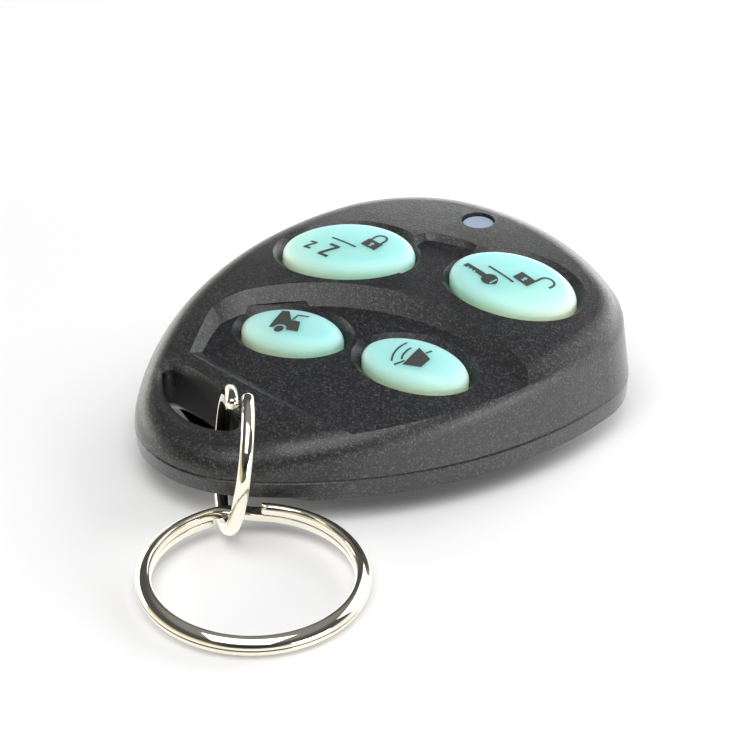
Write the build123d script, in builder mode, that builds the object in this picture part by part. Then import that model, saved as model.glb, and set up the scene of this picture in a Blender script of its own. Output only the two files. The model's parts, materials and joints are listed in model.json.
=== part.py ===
from build123d import *
from math import acos, atan2, cos, degrees, hypot, pi, radians, sin, sqrt, tan
import os

# Car alarm remote on its two key rings, lying flat. Millimetres.
# Origin: middle of the flat resting face under the case. +Z up, +Y to the lamp end.
# The case is a rounded triangle: three corner circles wrapped by three large arcs.

os.makedirs("parts", exist_ok=True)

# Case outline: corner circles as (x, y, radius), and the large arcs between them
key_corner = (-8.9, -13.5, 13.3)
right_corner = (12.7, 9.2, 11.4)
left_corner = (-1.4, 8.0, 18.7)
right_flank = 44.5
far_flank = 32.9
left_flank = 38.4

# Case heights and walls
parting_height = 5.2
crown_rise = 10.8
crown_radius = 123.0
crown_apex = (-0.7, 18.4)
side_draft = 7.3
shoulder_radius = 3.2
case_wall = 1.8
case_ceiling = 1.5
edge_break = 0.16
bottom_edge_height = 2.95
bottom_bevel_width = 6.0
bottom_draft = 3.0
bottom_foot_radius = 3.0
floor_thickness = 1.5
lip_thickness = 0.8
lip_height = 1.1
lip_root = 1.0
fit_clearance = 0.1
cut_margin = 1.0

# Recessed panel that carries the two small keys
panel_radius = 123.0
panel_apex = (1.8, 10.6)
panel_drop = 2.5
panel_band_slope = 44.0
panel_band_left = (-18.4, -1.2)
panel_band_middle = (0.0, 2.0)
panel_band_right = (19.0, -1.2)
panel_end_radius = 4.2
panel_end_inset = 2.6
panel_run_out = 14.0
panel_near_edge = -40.0
panel_cut_depth = 14.0
ridge_start = (-18.1, -10.6)
ridge_end = (3.0, -18.4)
ridge_slope = 20.0

# Key wells as (x, y, half length, half width, tilt)
lock_well = (-8.9, 8.4, 9.1, 6.5, 9.0)
unlock_well = (10.6, 9.8, 8.9, 6.6, -3.0)
trunk_well = (-8.7, -5.6, 7.5, 4.9, -2.4)
horn_well = (6.5, -6.3, 7.6, 5.0, -2.4)
large_well_slope = 1.3
small_well_slope = 1.2
well_depth = 1.3
well_cut_rise = 0.3
collar_depth = 1.2
collar_wall = 1.1
channel_depth = 0.6
channel_middle = (0.9, 10.0)
channel_length = 7.0
channel_width = 8.6
channel_run_out = 4.0
channel_corner_radius = 3.5
channel_cut_depth = 3.0
channel_slope = 50.0

# Keys
key_clearance = 0.15
key_travel = 0.5
key_rise = 1.0
key_dome_radius = 36.0
key_edge_radius = 1.6
key_flange_lip = 0.6
key_flange_thickness = 0.7
key_rest_gap = 0.05
key_wall_gap = 0.3
key_stem_radius = 1.6
web_thickness = 0.6
web_margin = 1.8

# Key ring slot: the four arcs of its almond outline, each by its middle point
slot_left_far = (-18.3, -15.0)
slot_far_middle = (-12.9, -17.1)
slot_right_far = (-7.7, -20.3)
slot_right_middle = (-7.0, -21.3)
slot_right_near = (-8.2, -22.2)
slot_near_middle = (-13.9, -21.3)
slot_left_near = (-18.9, -16.5)
slot_left_middle = (-19.1, -15.5)
slot_chamfer = 0.8
slot_middle = (-13.2, -19.0)
rim_cut_height = 0.5
slot_block_gap = 1.5
key_end_height = 3.4
slot_flare = 1.8
slot_flare_stop = 0.01
slot_side_reach = 40.0

# Lamp window
lamp_place = (1.7, 19.9)
lamp_hole_radius = 1.9
lamp_clearance = 0.05
lamp_recess = 0.35
lamp_flange_radius = 2.8
lamp_flange_thickness = 0.8
lamp_collar_depth = 2.2
lamp_stem_radius = 1.5
lamp_collar_edge = 0.5
lamp_edge_radius = 0.3
lamp_stem_gap = 0.3

# Circuit board and what stands on it
board_bottom = 5.6
board_thickness = 1.0
board_margin = 3.0
board_block_gap = 0.4
switch_size = 4.5
switch_height = 1.5
switch_corner = 0.4
switch_foot = (0.7, 1.1, 0.25)
plunger_radius = 1.0
plunger_clearance = 0.05
plunger_inside = 0.3
chip_lead_gap = 0.05
lamp_chip = (1.6, 1.2, 0.6)
sounder_place = (0.9, 10.2)
sounder_radius = 5.0
sounder_height = 2.4
sounder_hole_radius = 0.9
sounder_edge_radius = 0.3
controller_place = (-1.2, -0.6)
controller_size = (6.0, 6.0, 1.1)
controller_taper = 4.0
radio_place = (15.0, 3.4)
radio_size = (4.0, 4.0, 0.9)
crystal_place = (8.6, 2.4)
crystal_size = (5.0, 3.2, 1.1)
crystal_corner_radius = 0.6
crystal_edge_radius = 0.25
small_chip_size = (1.0, 0.6, 0.5)
small_chip_pitch = (1.8, 1.6)
small_chip_middles = [(-1.2, -6.6), (11.0, -1.6), (-9.0, 13.6), (13.0, 15.0)]
small_chip_counts = [(3, 2), (2, 2), (2, 2), (3, 1)]
lead_pitch = 1.0
lead_count = 5
lead_width = 0.4
lead_reach = 0.6
lead_height = 0.25
antenna_inset = 4.0
antenna_thickness = 0.5
antenna_height = 2.4
antenna_foot = 1.0
antenna_middle = (-8.5, 14.0)
antenna_span = (26.0, 20.0)

# Screws
screw_places = [(16.0, -1.9), (-17.6, 0.6), (-2.0, -17.4)]
screw_shaft_radius = 0.85
screw_head_radius = 1.5
screw_head_height = 1.1
screw_head_seat = 3.4
screw_tip_height = 8.6
screw_head_clearance = 0.2
screw_tip_clearance = 0.2
cross_length = 1.7
cross_width = 0.4
post_radius = 2.6
boss_radius = 2.1
thread_clearance = 0.05

# Coin cell and its contacts
cell_place = (1.5, 3.0)
cell_radius = 10.0
cell_height = 3.2
cell_ring_wall = 0.9
cell_ring_height = 2.6
cell_ring_opening = 6.0
cell_cap_radius = 8.6
cell_cap_height = 0.2
cell_edge_radius = 0.4
contact_thickness = 0.3
contact_width = 4.0
contact_foot = 3.0
positive_contact_angle = -35.0
positive_contact_tip = 2.5
# Spring strip to the cell's cap: places along it from the cell's middle
spring_start = -7.0
spring_bend = -3.0
spring_touch = 1.0
spring_end = 4.0
spring_bend_shift = 0.1

# Key rings
jump_wire = 1.5
jump_radius = 7.2
jump_pitch = 1.75
jump_turn = 352.0
jump_place = (-5.2, -26.2)
jump_heading = 130.0
jump_lean = 8.0
jump_end_angle = 90.0
split_radius = 11.1
split_width = 1.8
split_coil_height = 1.05
split_coil_gap = 0.06
split_step_angle = 28.0
split_edge_radius = 0.4
split_place = (3.0, -36.6)
split_tilt = 4.0
split_start_angle = 14.0
floor_gap = 0.02

crown_height = parting_height + crown_rise
panel_height = crown_height - panel_drop
board_top = board_bottom + board_thickness
switch_top = board_top + switch_height
plunger_top = switch_top + key_travel


def flank_centre(first, second, radius):
    # Centre of the arc that wraps two corner circles and touches both from outside
    span = hypot(second[0] - first[0], second[1] - first[1])
    first_reach = radius - first[2]
    second_reach = radius - second[2]
    along = (span**2 + first_reach**2 - second_reach**2) / (2 * span)
    aside = sqrt(first_reach**2 - along**2)
    ux = (second[0] - first[0]) / span
    uy = (second[1] - first[1]) / span
    return (first[0] + ux * along - uy * aside, first[1] + uy * along + ux * aside)


def arc_points(centre, radius, start, end):
    # Start, middle and end of an anticlockwise arc between two angles
    while end < start:
        end += 2 * pi
    middle = (start + end) / 2
    return [(centre[0] + radius * cos(a), centre[1] + radius * sin(a)) for a in (start, middle, end)]


def case_outline(height, grow):
    corners = [key_corner, right_corner, left_corner]
    radii = [right_flank, far_flank, left_flank]
    centres = [flank_centre(corners[i], corners[(i + 1) % 3], radii[i]) for i in range(3)]
    with BuildSketch(Plane.XY.offset(height)) as outline:
        with BuildLine():
            for i in range(3):
                corner = corners[i]
                following = corners[(i + 1) % 3]
                before = centres[i - 1]
                after = centres[i]
                start = atan2(corner[1] - before[1], corner[0] - before[0])
                end = atan2(corner[1] - after[1], corner[0] - after[0])
                ThreePointArc(*arc_points(corner, corner[2] + grow, start, end))
                last = atan2(following[1] - after[1], following[0] - after[0])
                ThreePointArc(*arc_points(after, radii[i] + grow, end, last))
        make_face()
    return outline.sketch


def dome_height(apex, top, radius, x, y):
    return top - radius + sqrt(radius**2 - (x - apex[0]) ** 2 - (y - apex[1]) ** 2)


def crown_at(x, y):
    return dome_height(crown_apex, crown_height, crown_radius, x, y)


def panel_at(x, y):
    return dome_height(panel_apex, panel_height, panel_radius, x, y)


def domed_body(grow, sink, base):
    # Drafted walls under the domed crown, all walls moved in or out by grow
    with BuildPart() as body:
        extrude(case_outline(base, grow - (base - parting_height) * tan(radians(side_draft))),
                amount=crown_height - base + cut_margin, taper=side_draft)
        with Locations((crown_apex[0], crown_apex[1], crown_height - crown_radius)):
            Sphere(crown_radius - sink, rotation=(0, 90, 0), mode=Mode.INTERSECT)
    return body.part


def panel_space(grow, sink):
    # Space above the recessed panel, with its sloped band and its ridge
    run = tan(radians(panel_band_slope))
    top = crown_height + cut_margin
    left = (panel_band_left[0] - panel_end_inset, panel_band_left[1] - panel_end_radius)
    spread = grow + (top - panel_at(*panel_band_middle) - panel_drop / 2) * run
    direction = (Vector(*ridge_end) - Vector(*ridge_start)).normalized()
    away = Vector(direction.Y, -direction.X, 0)
    rise = radians(ridge_slope)
    ridge_normal = Vector(-away.X * sin(rise), -away.Y * sin(rise), cos(rise))
    ridge_point = Vector(*ridge_start, panel_at(*ridge_start) - sink) + away * grow
    with BuildPart() as space:
        with BuildSketch(Plane.XY.offset(top)):
            with BuildLine():
                upper = ThreePointArc(panel_band_left, panel_band_middle, panel_band_right)
                right = Line(upper @ 1, upper @ 1 + (upper % 1) * panel_run_out)
                corner = Line(right @ 1, Vector((right @ 1).X, panel_near_edge))
                lower = Line(corner @ 1, (left[0], panel_near_edge))
                side = Line(lower @ 1, left)
                RadiusArc(side @ 1, upper @ 0, panel_end_radius)
            make_face()
            offset(amount=spread)
        extrude(amount=-panel_cut_depth, taper=panel_band_slope)
        with Locations((panel_apex[0], panel_apex[1], panel_height - panel_radius)):
            Sphere(panel_radius - sink, rotation=(0, 90, 0), mode=Mode.SUBTRACT)
        split(bisect_by=Plane(origin=ridge_point, z_dir=ridge_normal), keep=Keep.TOP)
    return space.part


def upright_plane(origin, turn):
    # Vertical plane whose x direction points outward at the given turn
    angle = radians(turn)
    return Plane(origin=origin, x_dir=(cos(angle), sin(angle), 0), z_dir=(sin(angle), -cos(angle), 0))


def oval(plane, well, grow):
    with BuildSketch(plane) as shape:
        Ellipse(well[2] + grow, well[3] + grow, rotation=well[4])
    return shape.sketch


def upright_oval(height, well, grow):
    return oval(Plane.XY.offset(height).move(Location((well[0], well[1], 0))), well, grow)


def surface_normal(apex, top, radius, x, y):
    height = dome_height(apex, top, radius, x, y)
    return Vector(x - apex[0], y - apex[1], height - top + radius).normalized()


def slot_outline(height, grow):
    with BuildSketch(Plane.XY.offset(height)) as outline:
        with BuildLine():
            ThreePointArc(slot_left_far, slot_far_middle, slot_right_far)
            ThreePointArc(slot_right_far, slot_right_middle, slot_right_near)
            ThreePointArc(slot_right_near, slot_near_middle, slot_left_near)
            ThreePointArc(slot_left_near, slot_left_middle, slot_left_far)
        make_face()
        if grow:
            offset(amount=grow)
    return outline.sketch


def slot_side(height, gap):
    # Everything on the board's side of the solid block that holds the slot
    direction = (Vector(*slot_right_far) - Vector(*slot_left_far)).normalized()
    inward = Vector(-direction.Y, direction.X, 0)
    edge = Vector(*slot_far_middle, 0) + inward * (gap + slot_block_gap)
    turn = degrees(atan2(direction.Y, direction.X))
    middle = edge + inward * slot_side_reach
    with BuildSketch(Plane.XY.offset(height)) as region:
        with Locations((middle.X, middle.Y)):
            Rectangle(3 * slot_side_reach, 2 * slot_side_reach, rotation=turn)
    return region.sketch


# Each key: well, slope width, and the surface that it stands in
keys = {
    "lock": (lock_well, large_well_slope, (crown_apex, crown_height, crown_radius)),
    "unlock": (unlock_well, large_well_slope, (crown_apex, crown_height, crown_radius)),
    "trunk": (trunk_well, small_well_slope, (panel_apex, panel_height, panel_radius)),
    "horn": (horn_well, small_well_slope, (panel_apex, panel_height, panel_radius)),
}


def key_surface(name):
    well, slope, dome = keys[name]
    return dome_height(*dome, well[0], well[1])


def hole_bottom(name):
    return key_surface(name) - well_depth - collar_depth


# Upper shell
inner_space = domed_body(-case_wall, case_ceiling, parting_height)
panel_cover = panel_space(case_wall, case_ceiling)
panel_cut = panel_space(0, 0)
lamp_top = crown_at(*lamp_place)

with BuildPart() as top_shell:
    add(domed_body(0, 0, parting_height))
    chamfer(top_shell.faces().sort_by(Axis.Z)[0].edges(), edge_break)
    fillet(top_shell.faces().sort_by(Axis.Z)[-1].edges(), shoulder_radius)
    add(panel_cut, mode=Mode.SUBTRACT)
    # Hollow inside, kept solid under the panel and around the key slot
    with BuildPart(mode=Mode.PRIVATE) as hollow:
        add(inner_space)
        add(panel_cover, mode=Mode.SUBTRACT)
        extrude(slot_side(parting_height, 0), amount=crown_height, mode=Mode.INTERSECT)
        # Collars under the key wells and the lamp window, and three screw bosses
        for name in keys:
            extrude(upright_oval(hole_bottom(name), keys[name][0], collar_wall - keys[name][1]),
                    amount=crown_rise, mode=Mode.SUBTRACT)
        with BuildSketch(Plane.XY.offset(lamp_top - lamp_collar_depth)):
            with Locations(lamp_place):
                Circle(lamp_flange_radius + lamp_collar_edge)
        extrude(amount=crown_rise, mode=Mode.SUBTRACT)
        with BuildSketch(Plane.XY.offset(board_top)):
            with Locations(*screw_places):
                Circle(boss_radius)
        extrude(amount=crown_rise, mode=Mode.SUBTRACT)
    add(hollow.part, mode=Mode.SUBTRACT)
    with BuildSketch(Plane.XY.offset(board_top)):
        with Locations(*screw_places):
            Circle(screw_shaft_radius + thread_clearance)
    extrude(amount=screw_tip_height + screw_tip_clearance - board_top, mode=Mode.SUBTRACT)
    # Rebate for the lower shell's lip
    extrude(case_outline(parting_height, fit_clearance - case_wall + lip_thickness)
            & slot_side(parting_height, 0),
            amount=lip_height + fit_clearance, mode=Mode.SUBTRACT)
    # Shallow channel between the two large wells
    with BuildPart(mode=Mode.PRIVATE) as channel:
        with BuildSketch(Plane.XY.offset(crown_height + cut_margin)):
            with Locations(channel_middle):
                RectangleRounded(channel_length + channel_run_out, channel_width + channel_run_out,
                                 channel_corner_radius)
        extrude(amount=-channel_cut_depth, taper=channel_slope)
        with Locations((crown_apex[0], crown_apex[1], crown_height - crown_radius)):
            Sphere(crown_radius - channel_depth, rotation=(0, 90, 0), mode=Mode.SUBTRACT)
    add(channel.part, mode=Mode.SUBTRACT)
    # Wells, square to the surface, and the upright key holes under them
    for name in keys:
        well, slope, dome = keys[name]
        normal = surface_normal(*dome, well[0], well[1])
        face = Plane(origin=(well[0], well[1], key_surface(name)), x_dir=(1, 0, 0), z_dir=normal)
        loft([oval(face.offset(-well_depth), well, -slope),
              oval(face.offset(well_cut_rise), well, slope * well_cut_rise / well_depth)],
             ruled=True, mode=Mode.SUBTRACT)
        extrude(upright_oval(hole_bottom(name) - cut_margin, well, -slope),
                amount=crown_height, mode=Mode.SUBTRACT)
    # Lamp window and key ring slot
    with BuildSketch(Plane.XY.offset(parting_height)):
        with Locations(lamp_place):
            Circle(lamp_hole_radius)
    extrude(amount=crown_height, mode=Mode.SUBTRACT)
    extrude(slot_outline(0, 0), amount=crown_height, mode=Mode.SUBTRACT)
    # Sloped rim around the slot, square to the crown there
    rim_normal = surface_normal(crown_apex, crown_height, crown_radius, *slot_middle)
    rim_plane = Plane(origin=(*slot_middle, crown_at(*slot_middle)), x_dir=(1, 0, 0), z_dir=rim_normal)
    rim_top = rim_plane.offset(rim_cut_height).location * Location((-slot_middle[0], -slot_middle[1], 0))
    extrude(rim_top * slot_outline(0, slot_chamfer + rim_cut_height),
            amount=-slot_chamfer - rim_cut_height, taper=45, mode=Mode.SUBTRACT)

top_shell.part.label = "top_shell"
export_step(top_shell.part, "parts/top_shell.step")

# Lower shell
lower_wall = parting_height - bottom_edge_height
edge_grow = -lower_wall * tan(radians(bottom_draft))
bevel_angle = degrees(atan2(bottom_bevel_width, bottom_edge_height))
inner_bevel_height = floor_thickness + (bottom_bevel_width - case_wall) / tan(radians(bevel_angle))

with BuildPart() as bottom_shell:
    extrude(case_outline(parting_height, 0), amount=-lower_wall, taper=bottom_draft)
    extrude(case_outline(bottom_edge_height, edge_grow), amount=-bottom_edge_height, taper=bevel_angle)
    fillet(bottom_shell.faces().sort_by(Axis.Z)[0].edges(), bottom_foot_radius)
    chamfer(bottom_shell.faces().sort_by(Axis.Z)[-1].edges(), edge_break)
    # Hollow inside, kept solid around the key slot
    with BuildPart(mode=Mode.PRIVATE) as tray:
        extrude(case_outline(inner_bevel_height, -case_wall), amount=parting_height)
        extrude(case_outline(inner_bevel_height, -case_wall), amount=floor_thickness - inner_bevel_height,
                taper=bevel_angle)
        extrude(slot_side(0, 0), amount=crown_height, mode=Mode.INTERSECT)
    add(tray.part, mode=Mode.SUBTRACT)
    # Lip that enters the upper shell's rebate
    lip_foot = parting_height - lip_root
    lip_strip = case_outline(lip_foot, lip_thickness - case_wall) - case_outline(lip_foot, -case_wall)
    extrude(lip_strip & slot_side(lip_foot, fit_clearance), amount=lip_root + lip_height)
    # Screw posts under the board, and the ring that holds the coin cell
    with BuildSketch(Plane.XY.offset(floor_thickness)):
        with Locations(*screw_places):
            Circle(post_radius)
    extrude(amount=board_bottom - floor_thickness)
    with BuildSketch(Plane.XY.offset(floor_thickness)):
        with Locations(cell_place):
            Circle(cell_radius + key_clearance + cell_ring_wall)
            Circle(cell_radius + key_clearance, mode=Mode.SUBTRACT)
            with Locations(Location((0, 0, 0), (0, 0, positive_contact_angle))):
                with Locations((cell_radius, 0)):
                    Rectangle(cell_ring_opening, contact_width + cut_margin, mode=Mode.SUBTRACT)
    extrude(amount=cell_ring_height)
    with BuildSketch(Plane.XY):
        with Locations(*screw_places):
            Circle(screw_head_radius + screw_head_clearance)
    extrude(amount=screw_head_seat, mode=Mode.SUBTRACT)
    with BuildSketch(Plane.XY):
        with Locations(*screw_places):
            Circle(screw_shaft_radius + fit_clearance)
    extrude(amount=board_bottom, mode=Mode.SUBTRACT)
    # Key end: higher underside, and a slot that flares downward for the ring
    with BuildPart(mode=Mode.PRIVATE) as key_end:
        extrude(case_outline(-cut_margin, cut_margin), amount=key_end_height + cut_margin)
        extrude(slot_side(-cut_margin, 0), amount=crown_height, mode=Mode.SUBTRACT)
    add(key_end.part, mode=Mode.SUBTRACT)
    extrude(slot_outline(0, 0), amount=parting_height, mode=Mode.SUBTRACT)
    extrude(slot_outline(key_end_height, slot_flare), amount=slot_flare - slot_flare_stop,
            taper=45, mode=Mode.SUBTRACT)

bottom_shell.part.label = "bottom_shell"
export_step(bottom_shell.part, "parts/bottom_shell.step")

# Keys, with a flange inside the case and a stem that reaches the switch plunger
key_room = domed_body(-case_wall - key_wall_gap, case_ceiling, parting_height)
panel_trim = panel_space(case_wall + key_wall_gap, case_ceiling + key_wall_gap)
for name, (well, slope, dome) in keys.items():
    surface = Vector(well[0], well[1], key_surface(name))
    normal = surface_normal(*dome, well[0], well[1])
    dome_centre = surface + normal * (key_rise - key_dome_radius)
    flange_top = hole_bottom(name) - key_rest_gap
    flange_bottom = flange_top - key_flange_thickness
    with BuildPart(mode=Mode.PRIVATE) as flange:
        extrude(upright_oval(flange_bottom, well, key_flange_lip - slope), amount=key_flange_thickness)
        add(key_room, mode=Mode.INTERSECT)
        add(panel_trim, mode=Mode.SUBTRACT)
    with BuildPart() as key:
        extrude(upright_oval(flange_top, well, -slope - key_clearance), amount=crown_height)
        with Locations(Location(dome_centre)):
            Sphere(key_dome_radius, rotation=(0, 90, 0), mode=Mode.INTERSECT)
        fillet(key.edges().sort_by(Axis.Z)[-1], key_edge_radius)
        add(flange.part)
        with BuildSketch(Plane.XY.offset(plunger_top)):
            with Locations(well[:2]):
                Circle(key_stem_radius)
        extrude(amount=flange_bottom - plunger_top)
    key.part.label = name + "_key"
    export_step(key.part, "parts/" + name + "_key.step")

# Tact switches and their plungers
for name in keys:
    well = keys[name][0]
    with BuildPart() as switch:
        with BuildSketch(Plane.XY.offset(board_top)):
            with Locations(well[:2]):
                Rectangle(switch_size, switch_size)
        extrude(amount=switch_height)
        chamfer(switch.edges().filter_by(Axis.Z), switch_corner)
        with BuildSketch(Plane.XY.offset(board_top)):
            with Locations(well[:2]):
                with GridLocations(switch_size + switch_foot[1] / 2, switch_size / 2, 2, 2):
                    Rectangle(switch_foot[1], switch_foot[0])
        extrude(amount=switch_foot[2])
        with BuildSketch(Plane.XY.offset(switch_top)):
            with Locations(well[:2]):
                Circle(plunger_radius + plunger_clearance)
        extrude(amount=-plunger_inside - key_travel, mode=Mode.SUBTRACT)
    switch.part.label = name + "_switch"
    export_step(switch.part, "parts/" + name + "_switch.step")
    with BuildPart() as plunger:
        with BuildSketch(Plane.XY.offset(switch_top - plunger_inside)):
            with Locations(well[:2]):
                Circle(plunger_radius)
        extrude(amount=plunger_top - switch_top + plunger_inside)
    plunger.part.label = name + "_plunger"
    export_step(plunger.part, "parts/" + name + "_plunger.step")

# Rubber webs around each pair of keys, held against the collars
for label, pair in {"large_key_web": ("lock", "unlock"), "small_key_web": ("trunk", "horn")}.items():
    web_top = min(hole_bottom(name) for name in pair)
    with BuildPart() as web:
        with BuildSketch(Plane.XY.offset(web_top)):
            for name in pair:
                well, slope = keys[name][:2]
                with Locations(well[:2]):
                    Ellipse(well[2] - slope + web_margin, well[3] - slope + web_margin, rotation=well[4])
            make_hull()
            for name in pair:
                well, slope = keys[name][:2]
                gap = key_flange_lip + key_clearance - slope
                with Locations(well[:2]):
                    Ellipse(well[2] + gap, well[3] + gap, rotation=well[4], mode=Mode.SUBTRACT)
            with Locations(*screw_places):
                Circle(boss_radius + key_clearance, mode=Mode.SUBTRACT)
        extrude(amount=-web_thickness)
        add(domed_body(-case_wall - fit_clearance, case_ceiling, parting_height), mode=Mode.INTERSECT)
        add(top_shell.part, mode=Mode.SUBTRACT)
    web.part.label = label
    export_step(web.part, "parts/" + label + ".step")

# Lamp window: lens, flange under the collar and a stem down to the lamp
with BuildPart() as led_light_pipe:
    with BuildSketch(Plane.XY.offset(lamp_top - lamp_collar_depth)):
        with Locations(lamp_place):
            Circle(lamp_hole_radius - lamp_clearance)
    extrude(amount=lamp_collar_depth - lamp_recess)
    fillet(led_light_pipe.edges().sort_by(Axis.Z)[-1], lamp_edge_radius)
    with BuildSketch(Plane.XY.offset(lamp_top - lamp_collar_depth)):
        with Locations(lamp_place):
            Circle(lamp_flange_radius)
    extrude(amount=-lamp_flange_thickness)
    stem_bottom = board_top + lamp_chip[2] + lamp_stem_gap
    with BuildSketch(Plane.XY.offset(stem_bottom)):
        with Locations(lamp_place):
            Circle(lamp_stem_radius)
    extrude(amount=lamp_top - lamp_collar_depth - lamp_flange_thickness - stem_bottom)
led_light_pipe.part.label = "led_light_pipe"
export_step(led_light_pipe.part, "parts/led_light_pipe.step")

# Circuit board
with BuildPart() as circuit_board:
    extrude(case_outline(board_bottom, -board_margin) & slot_side(board_bottom, board_block_gap),
            amount=board_thickness)
    with BuildSketch(Plane.XY.offset(board_bottom)):
        with Locations(*screw_places):
            Circle(screw_shaft_radius + fit_clearance)
    extrude(amount=board_thickness, mode=Mode.SUBTRACT)
circuit_board.part.label = "circuit_board"
export_step(circuit_board.part, "parts/circuit_board.step")

# Controller with leads on four sides
with BuildPart() as microcontroller:
    with BuildSketch(Plane.XY.offset(board_top + chip_lead_gap)):
        with Locations(controller_place):
            Rectangle(controller_size[0], controller_size[1])
    extrude(amount=controller_size[2], taper=controller_taper)
    with BuildSketch(Plane.XY.offset(board_top)):
        with Locations(controller_place):
            with GridLocations(controller_size[0], lead_pitch, 2, lead_count):
                Rectangle(2 * lead_reach, lead_width)
            with GridLocations(lead_pitch, controller_size[1], lead_count, 2):
                Rectangle(lead_width, 2 * lead_reach)
    extrude(amount=lead_height)
microcontroller.part.label = "microcontroller"
export_step(microcontroller.part, "parts/microcontroller.step")

# Radio chip, crystal can and lamp
with BuildPart() as radio_chip:
    with BuildSketch(Plane.XY.offset(board_top)):
        with Locations(radio_place):
            Rectangle(radio_size[0], radio_size[1])
    extrude(amount=radio_size[2])
    chamfer(radio_chip.faces().sort_by(Axis.Z)[-1].edges(), fit_clearance)
radio_chip.part.label = "radio_chip"
export_step(radio_chip.part, "parts/radio_chip.step")

with BuildPart() as crystal:
    with BuildSketch(Plane.XY.offset(board_top)):
        with Locations(crystal_place):
            RectangleRounded(crystal_size[0], crystal_size[1], crystal_corner_radius)
    extrude(amount=crystal_size[2])
    fillet(crystal.faces().sort_by(Axis.Z)[-1].edges(), crystal_edge_radius)
crystal.part.label = "crystal"
export_step(crystal.part, "parts/crystal.step")

with BuildPart() as led_chip:
    with BuildSketch(Plane.XY.offset(board_top)):
        with Locations(lamp_place):
            Rectangle(lamp_chip[0], lamp_chip[1])
    extrude(amount=lamp_chip[2])
led_chip.part.label = "led_chip"
export_step(led_chip.part, "parts/led_chip.step")

# Sounder: a can with a sound hole
with BuildPart() as piezo_sounder:
    with BuildSketch(Plane.XY.offset(board_top)):
        with Locations(sounder_place):
            Circle(sounder_radius)
    extrude(amount=sounder_height)
    fillet(piezo_sounder.edges().sort_by(Axis.Z)[-1], sounder_edge_radius)
    with BuildSketch(Plane.XY.offset(board_top + sounder_height)):
        with Locations(sounder_place):
            Circle(sounder_hole_radius)
    extrude(amount=-sounder_height / 2, mode=Mode.SUBTRACT)
piezo_sounder.part.label = "piezo_sounder"
export_step(piezo_sounder.part, "parts/piezo_sounder.step")

# Small chip parts around the controller and the radio
with BuildPart() as chip_parts:
    with BuildSketch(Plane.XY.offset(board_top)):
        for middle, counts in zip(small_chip_middles, small_chip_counts):
            with Locations(middle):
                with GridLocations(*small_chip_pitch, *counts):
                    Rectangle(small_chip_size[0], small_chip_size[1])
    extrude(amount=small_chip_size[2])
chip_parts.part.label = "chip_parts"
export_step(chip_parts.part, "parts/chip_parts.step")

# Antenna: a strip on edge that follows the rim of the board, on two feet
rim_strip = (case_outline(board_top, -antenna_inset)
             - case_outline(board_top, -antenna_inset - antenna_thickness))
with BuildSketch(Plane.XY.offset(board_top)) as antenna_reach:
    with Locations(antenna_middle):
        Rectangle(*antenna_span)
with BuildSketch(Plane.XY.offset(board_top)) as antenna_arch:
    with Locations(antenna_middle):
        Rectangle(antenna_span[0] - 2 * antenna_foot, antenna_span[1] - 2 * antenna_foot)
with BuildPart() as antenna_loop:
    extrude(rim_strip & antenna_reach.sketch, amount=antenna_height)
    extrude(rim_strip & antenna_arch.sketch, amount=antenna_foot, mode=Mode.SUBTRACT)
antenna_loop.part.label = "antenna_loop"
export_step(antenna_loop.part, "parts/antenna_loop.step")

# Coin cell: rounded can with a raised cap
cell_top = floor_thickness + cell_height
with BuildPart() as coin_cell:
    with BuildSketch(Plane.XY.offset(floor_thickness)):
        with Locations(cell_place):
            Circle(cell_radius)
    extrude(amount=cell_height - cell_cap_height)
    fillet(coin_cell.edges(), cell_edge_radius)
    with BuildSketch(Plane.XY.offset(cell_top)):
        with Locations(cell_place):
            Circle(cell_cap_radius)
    extrude(amount=-2 * cell_cap_height)
coin_cell.part.label = "coin_cell"
export_step(coin_cell.part, "parts/coin_cell.step")

# Cell contacts, bent from strip
with BuildPart() as positive_contact:
    with BuildSketch(upright_plane((*cell_place, 0), positive_contact_angle)):
        with BuildLine():
            Polyline((cell_radius, positive_contact_tip),
                     (cell_radius, board_bottom),
                     (cell_radius + contact_foot, board_bottom),
                     (cell_radius + contact_foot, board_bottom - contact_thickness),
                     (cell_radius + contact_thickness, board_bottom - contact_thickness),
                     (cell_radius + contact_thickness, positive_contact_tip),
                     close=True)
        make_face()
    extrude(amount=contact_width / 2, both=True)
positive_contact.part.label = "positive_contact"
export_step(positive_contact.part, "parts/positive_contact.step")

with BuildPart() as negative_contact:
    with BuildSketch(upright_plane((*cell_place, 0), 0)):
        with BuildLine():
            Polyline((spring_start, board_bottom),
                     (spring_bend, board_bottom),
                     (spring_touch, cell_top + contact_thickness),
                     (spring_end, cell_top + contact_thickness),
                     (spring_end, cell_top),
                     (spring_touch - spring_bend_shift, cell_top),
                     (spring_bend - spring_bend_shift, board_bottom - contact_thickness),
                     (spring_start, board_bottom - contact_thickness),
                     close=True)
        make_face()
    extrude(amount=contact_width / 2, both=True)
negative_contact.part.label = "negative_contact"
export_step(negative_contact.part, "parts/negative_contact.step")

# Three case screws with cross recesses
with BuildPart() as case_screws:
    with BuildSketch(Plane.XY.offset(screw_head_seat - screw_head_height)):
        with Locations(*screw_places):
            Circle(screw_head_radius)
    extrude(amount=screw_head_height)
    with BuildSketch(Plane.XY.offset(screw_head_seat)):
        with Locations(*screw_places):
            Circle(screw_shaft_radius)
    extrude(amount=screw_tip_height - screw_head_seat)
    with BuildSketch(Plane.XY.offset(screw_head_seat - screw_head_height)):
        with Locations(*screw_places):
            Rectangle(cross_length, cross_width)
            Rectangle(cross_width, cross_length)
    extrude(amount=screw_head_height / 2, mode=Mode.SUBTRACT)
case_screws.part.label = "case_screws"
export_step(case_screws.part, "parts/case_screws.step")

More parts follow.
